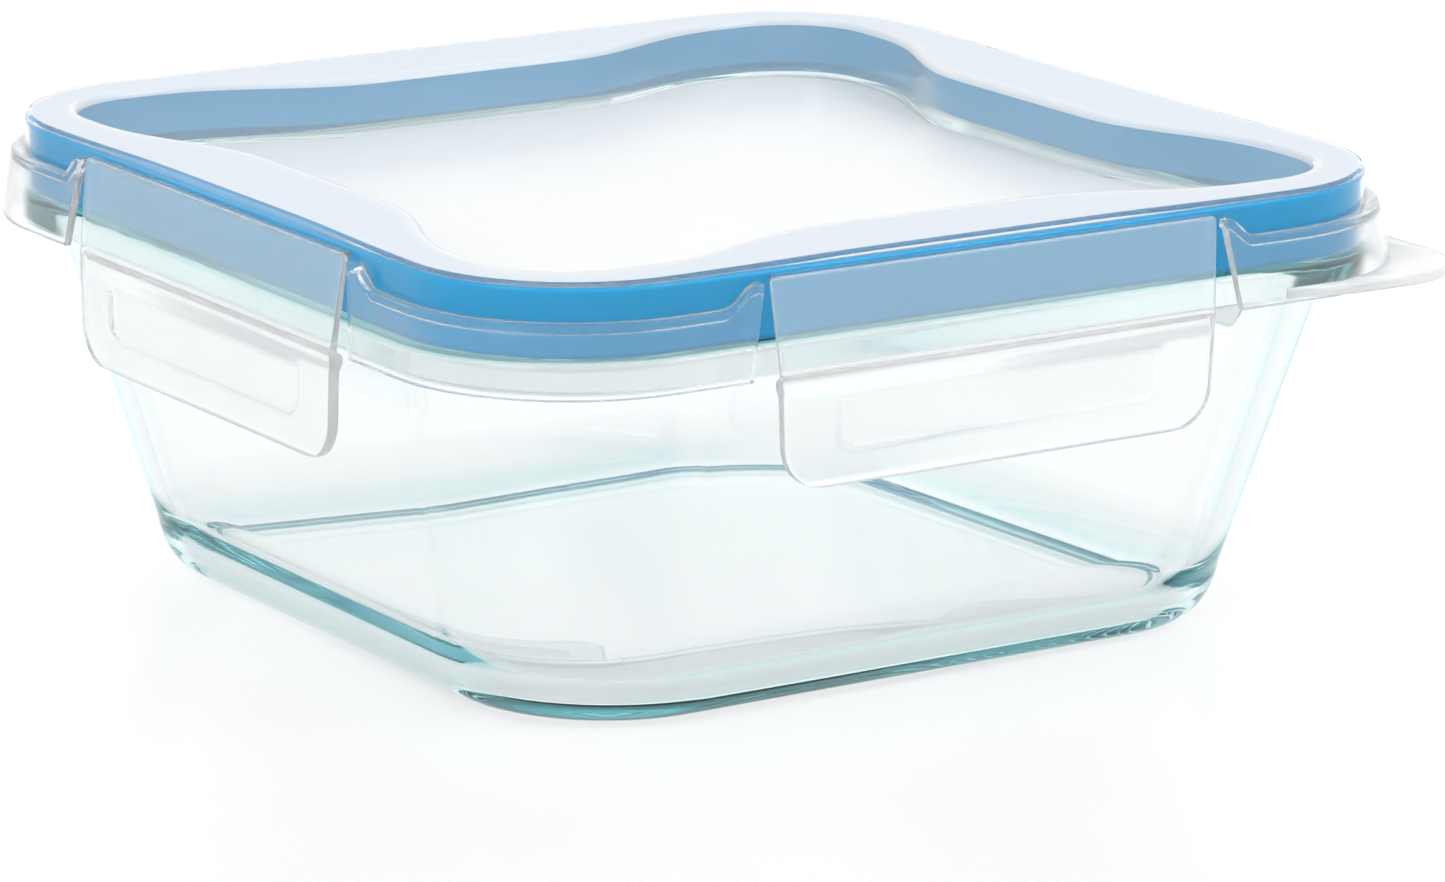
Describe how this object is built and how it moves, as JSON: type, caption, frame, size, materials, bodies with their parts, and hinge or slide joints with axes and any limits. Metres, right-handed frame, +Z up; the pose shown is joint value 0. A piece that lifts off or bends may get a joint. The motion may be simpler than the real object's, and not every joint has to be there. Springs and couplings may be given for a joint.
{
  "type": "glass storage container",
  "caption": "Square clear glass food container with a flared dish, collared rim and clear plastic lid with soft blue seal and hinged side latches.",
  "frame": {"origin": "centre of the base, on the surface the container stands on", "axes": "+Z up, -Y towards the front latch, +X to the right seen from the front, the lifting tab at the +X -Y corner"},
  "size_m": [0.167, 0.167, 0.069],
  "materials": {
    "glass": "clear polished",
    "lid_plastic": "translucent, slightly frosted",
    "seal": "satin silicone"
  },
  "bodies": {
    "dish": {"glass_dish": "glass"},
    "lid": {"lid_shell": "lid_plastic", "seal_ring": "seal", "front_hinge": "lid_plastic", "back_hinge": "lid_plastic", "left_hinge": "lid_plastic", "right_hinge": "lid_plastic"},
    "latch_front": {"front_latch": "lid_plastic"},
    "latch_back": {"back_latch": "lid_plastic"},
    "latch_left": {"left_latch": "lid_plastic"},
    "latch_right": {"right_latch": "lid_plastic"}
  },
  "joints": [
    {"name": "lid_lift", "type": "slide", "parent": "dish", "child": "lid", "axis": [0, 0, 1], "range_m": [0, 0.07]},
    {"name": "front_latch_hinge", "type": "hinge", "parent": "lid", "child": "latch_front", "pos_m": [0, -0.0801, 0.0671], "axis": [-1, 0, 0], "range_deg": [-5, 120], "deforming": ["front_hinge"]},
    {"name": "back_latch_hinge", "type": "hinge", "parent": "lid", "child": "latch_back", "pos_m": [0, 0.0801, 0.0671], "axis": [1, 0, 0], "range_deg": [-5, 120], "deforming": ["back_hinge"]},
    {"name": "left_latch_hinge", "type": "hinge", "parent": "lid", "child": "latch_left", "pos_m": [-0.0801, 0, 0.0671], "axis": [0, 1, 0], "range_deg": [-5, 120], "deforming": ["left_hinge"]},
    {"name": "right_latch_hinge", "type": "hinge", "parent": "lid", "child": "latch_right", "pos_m": [0.0801, 0, 0.0671], "axis": [0, -1, 0], "range_deg": [-5, 120], "deforming": ["right_hinge"]}
  ]
}
